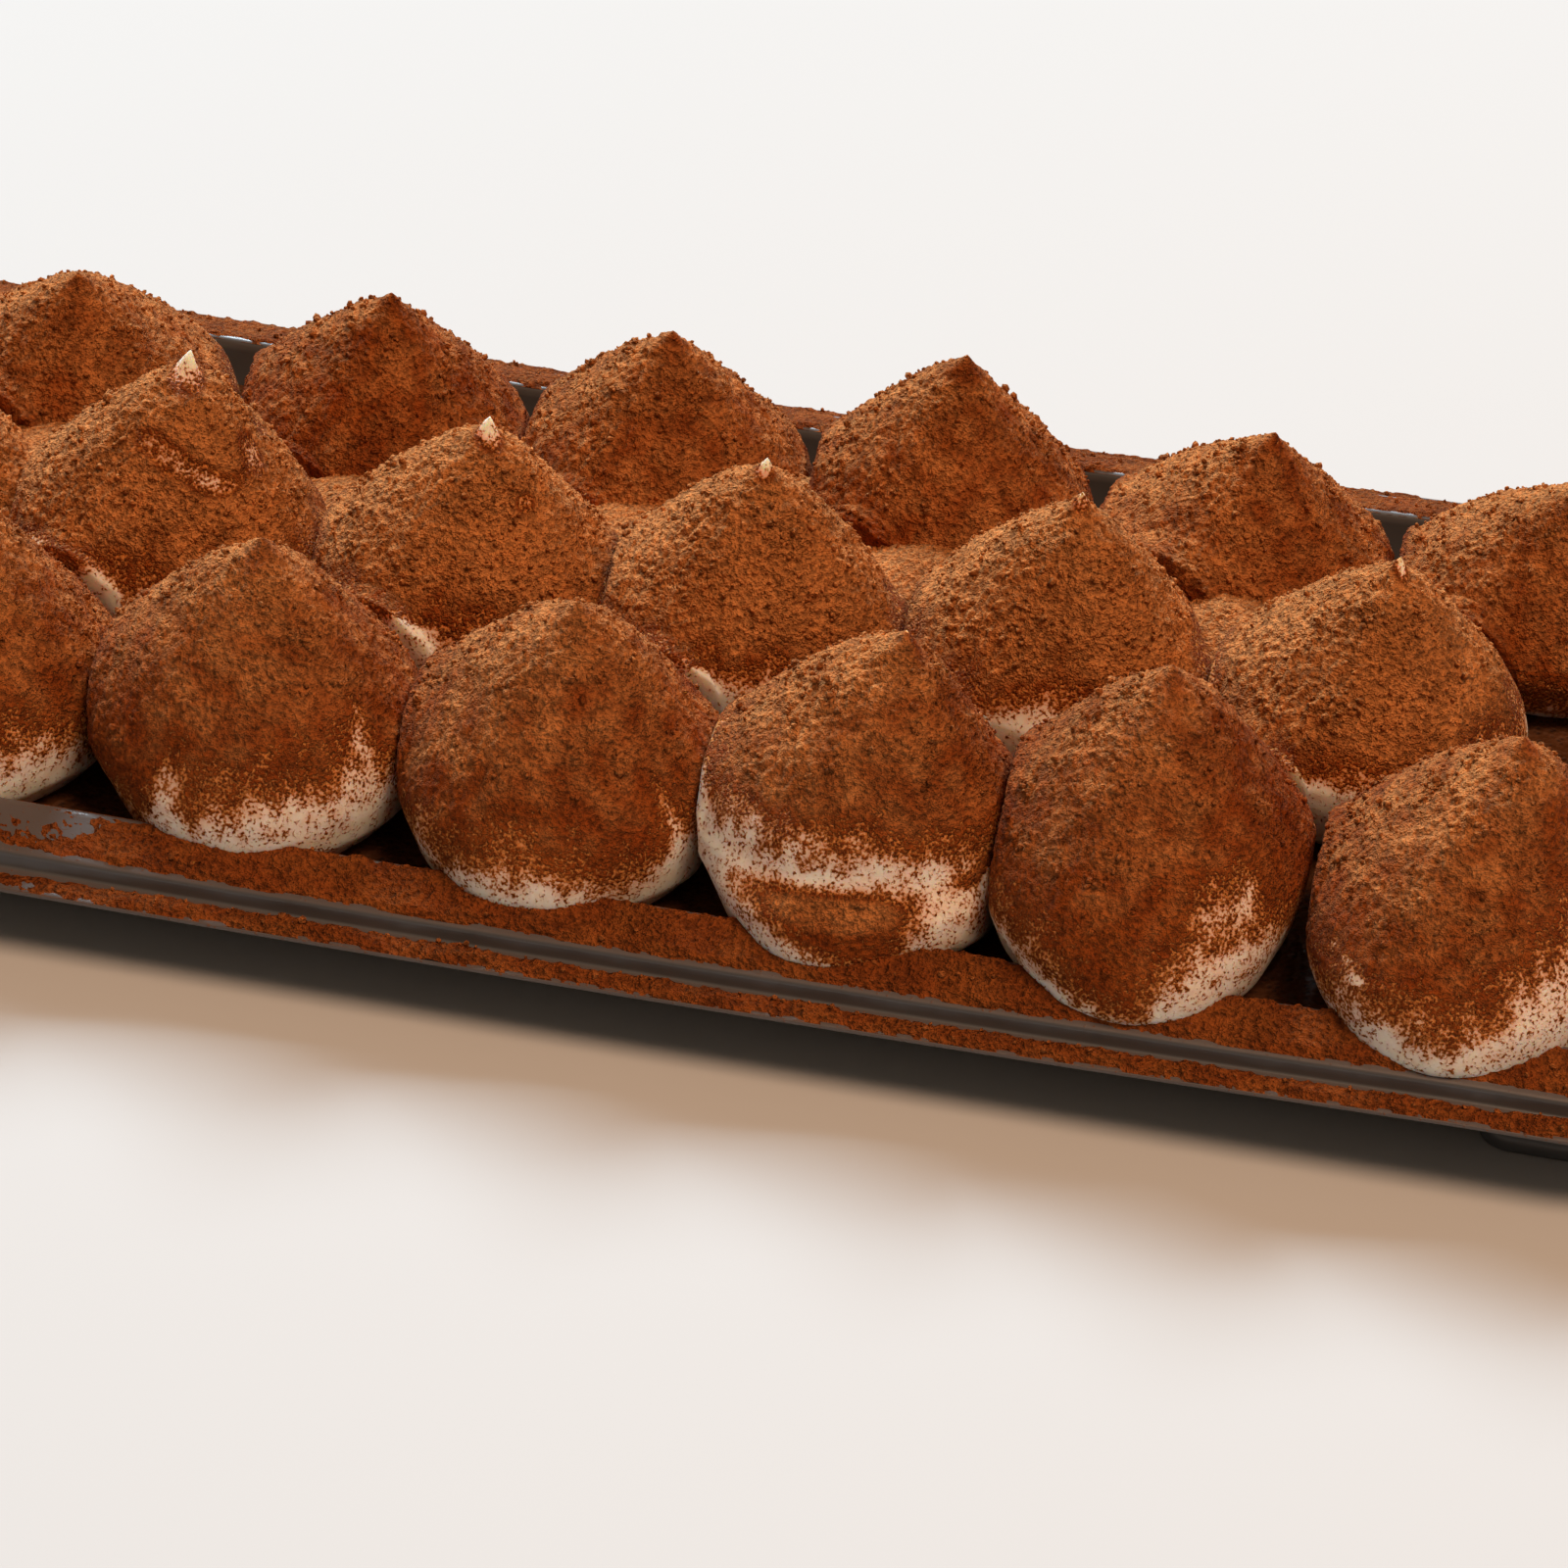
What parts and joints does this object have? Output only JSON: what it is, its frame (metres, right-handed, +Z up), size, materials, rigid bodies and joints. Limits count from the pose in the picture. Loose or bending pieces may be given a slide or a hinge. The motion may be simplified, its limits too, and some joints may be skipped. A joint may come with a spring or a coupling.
{
  "type": "tiramisu",
  "caption": "Tiramisu in a long shallow dark dish with a stepped rim: soaked biscuit under staggered rows of pointed piped cream dollops, thickly sifted with cocoa.",
  "frame": {"origin": "on the table, under the middle of the dish", "axes": "+X along the rows of cream dollops, +Y across them from the front row to the back row, +Z up"},
  "size_m": [0.3486, 0.1626, 0.0535],
  "materials": {
    "dish_glaze": "near-black glaze, glossy where no cocoa lies on it",
    "soaked_biscuit": "dark, moist, finely porous biscuit crumb",
    "cocoa_dusted_cream": "matt sifted cocoa over pale cream"
  },
  "bodies": {
    "root": {"dish": "dish_glaze", "soaked_biscuit": "soaked_biscuit", "dollop_front_1": "cocoa_dusted_cream", "dollop_front_2": "cocoa_dusted_cream", "dollop_front_3": "cocoa_dusted_cream", "dollop_front_4": "cocoa_dusted_cream", "dollop_front_5": "cocoa_dusted_cream", "dollop_front_6": "cocoa_dusted_cream", "dollop_front_7": "cocoa_dusted_cream", "dollop_middle_1": "cocoa_dusted_cream", "dollop_middle_2": "cocoa_dusted_cream", "dollop_middle_3": "cocoa_dusted_cream", "dollop_middle_4": "cocoa_dusted_cream", "dollop_middle_5": "cocoa_dusted_cream", "dollop_middle_6": "cocoa_dusted_cream", "dollop_back_1": "cocoa_dusted_cream", "dollop_back_2": "cocoa_dusted_cream", "dollop_back_3": "cocoa_dusted_cream", "dollop_back_4": "cocoa_dusted_cream", "dollop_back_5": "cocoa_dusted_cream", "dollop_back_6": "cocoa_dusted_cream", "dollop_back_7": "cocoa_dusted_cream"}
  },
  "joints": []
}
